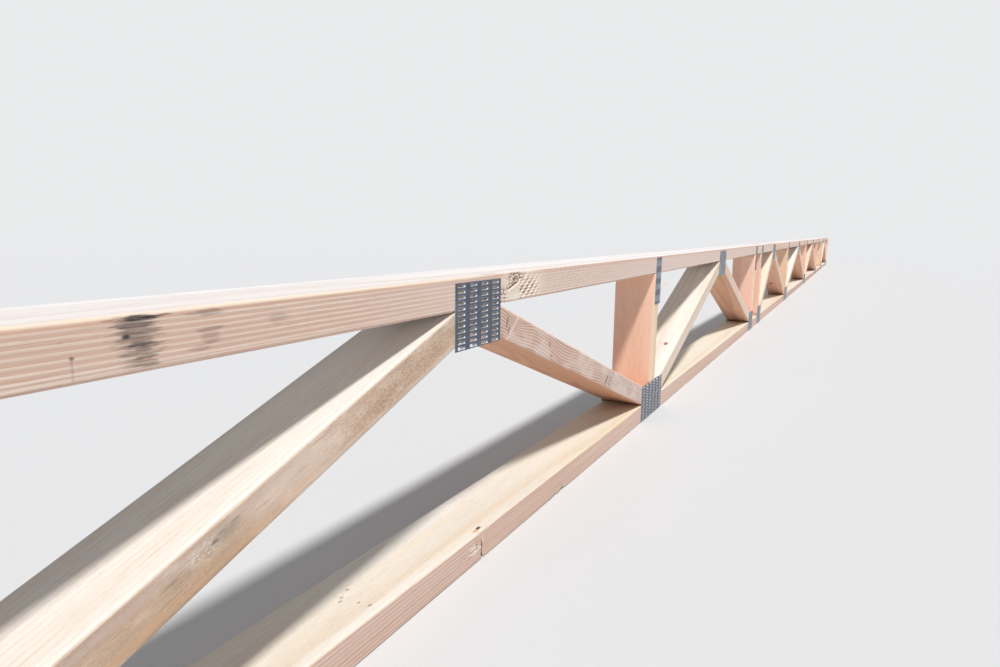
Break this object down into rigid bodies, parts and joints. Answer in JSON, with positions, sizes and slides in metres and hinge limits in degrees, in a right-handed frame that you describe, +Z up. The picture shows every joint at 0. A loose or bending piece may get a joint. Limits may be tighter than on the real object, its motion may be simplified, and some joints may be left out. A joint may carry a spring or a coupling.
{
  "type": "wooden roof truss",
  "caption": "Flat parallel-chord timber truss of 2x4 chords, verticals and diagonal webs, joined by toothed steel plates, with an open bay for ducts.",
  "frame": {"origin": "middle of the bottom chord's underside, half way along the truss and in the middle of its thickness", "axes": "+X along the truss from its near end to its far end, +Y through its thickness, +Z up; it stands on its bottom chord"},
  "size_m": [9.7536, 0.0908, 0.3556],
  "materials": {
    "planed_lumber": "planed softwood, bare and slightly weathered",
    "galvanized_plate": "hot-dip galvanized sheet, matt, with rows of punched slots"
  },
  "bodies": {
    "root": {"bottom_chord_far": "planed_lumber", "bottom_chord_near": "planed_lumber", "bottom_plates_0": "galvanized_plate", "bottom_plates_1": "galvanized_plate", "bottom_plates_2": "galvanized_plate", "bottom_plates_3": "galvanized_plate", "bottom_plates_4": "galvanized_plate", "bottom_plates_5": "galvanized_plate", "bottom_plates_6": "galvanized_plate", "bottom_plates_7": "galvanized_plate", "bottom_plates_8": "galvanized_plate", "corner_plates_far": "galvanized_plate", "corner_plates_near": "galvanized_plate", "diagonal_web_01": "planed_lumber", "diagonal_web_02": "planed_lumber", "diagonal_web_03": "planed_lumber", "diagonal_web_04": "planed_lumber", "diagonal_web_05": "planed_lumber", "diagonal_web_06": "planed_lumber", "diagonal_web_07": "planed_lumber", "diagonal_web_08": "planed_lumber", "diagonal_web_09": "planed_lumber", "diagonal_web_10": "planed_lumber", "diagonal_web_11": "planed_lumber", "diagonal_web_12": "planed_lumber", "end_post_far": "planed_lumber", "end_post_near": "planed_lumber", "post_plates_1": "galvanized_plate", "post_plates_2": "galvanized_plate", "post_plates_3": "galvanized_plate", "post_plates_4": "galvanized_plate", "post_plates_5": "galvanized_plate", "post_plates_6": "galvanized_plate", "post_plates_7": "galvanized_plate", "top_chord_far": "planed_lumber", "top_chord_near": "planed_lumber", "top_plates_1": "galvanized_plate", "top_plates_2": "galvanized_plate", "top_plates_3": "galvanized_plate", "top_plates_4": "galvanized_plate", "top_plates_5": "galvanized_plate", "top_plates_6": "galvanized_plate", "vertical_web_1": "planed_lumber", "vertical_web_2": "planed_lumber", "vertical_web_3": "planed_lumber", "vertical_web_4": "planed_lumber", "vertical_web_5": "planed_lumber", "vertical_web_6": "planed_lumber", "vertical_web_7": "planed_lumber"}
  },
  "joints": []
}
